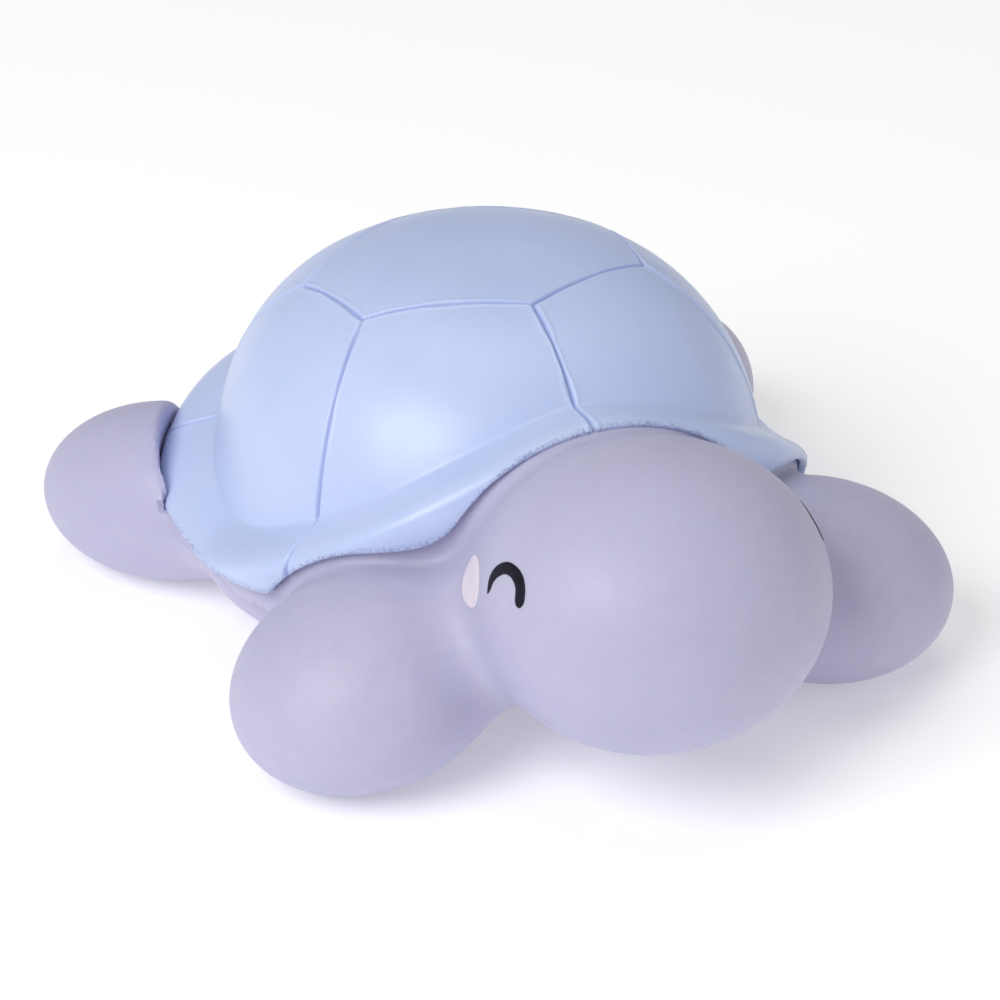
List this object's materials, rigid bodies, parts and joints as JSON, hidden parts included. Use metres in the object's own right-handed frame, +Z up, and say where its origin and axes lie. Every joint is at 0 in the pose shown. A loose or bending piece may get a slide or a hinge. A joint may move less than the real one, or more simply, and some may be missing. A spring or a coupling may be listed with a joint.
{
  "type": "squeaky bath toy",
  "caption": "Hollow soft vinyl turtle with a bonded domed shell, printed closed eyes and cheeks, and a reed squeaker in its belly.",
  "frame": {"origin": "on the floor plane, under the middle of the toy's outline", "axes": "+Z up, the turtle faces -Y, and its own left is +X"},
  "size_m": [0.1142, 0.1268, 0.0557],
  "materials": {
    "body_vinyl": "matte soft vinyl, lilac",
    "shell_vinyl": "satin soft vinyl, pale blue",
    "eye_ink": "printed ink",
    "cheek_ink": "printed ink",
    "squeaker_plastic": "natural moulded plastic",
    "reed_film": "springy film"
  },
  "bodies": {
    "root": {"body_casting": "body_vinyl", "eye_left": "eye_ink", "eye_right": "eye_ink", "cheek_left": "cheek_ink", "cheek_right": "cheek_ink", "squeaker_barrel": "squeaker_plastic", "squeaker_grille": "squeaker_plastic", "reed_seat": "squeaker_plastic", "reed_wedge": "squeaker_plastic"},
    "shell": {"shell_casting": "shell_vinyl"},
    "reed": {"reed": "reed_film"}
  },
  "joints": [
    {"name": "squeeze", "type": "slide", "parent": "root", "child": "shell", "axis": [0, 0, 1], "range_m": [-0.005, 0], "stiffness_N_per_m": 2000, "deforming": ["body_casting"]},
    {"name": "reed_flex", "type": "hinge", "parent": "root", "child": "reed", "pos_m": [0, 0.0154, 0.00505], "axis": [1, 0, 0], "range_deg": [-3, 3], "stiffness_Nm_per_rad": 0.0001}
  ]
}
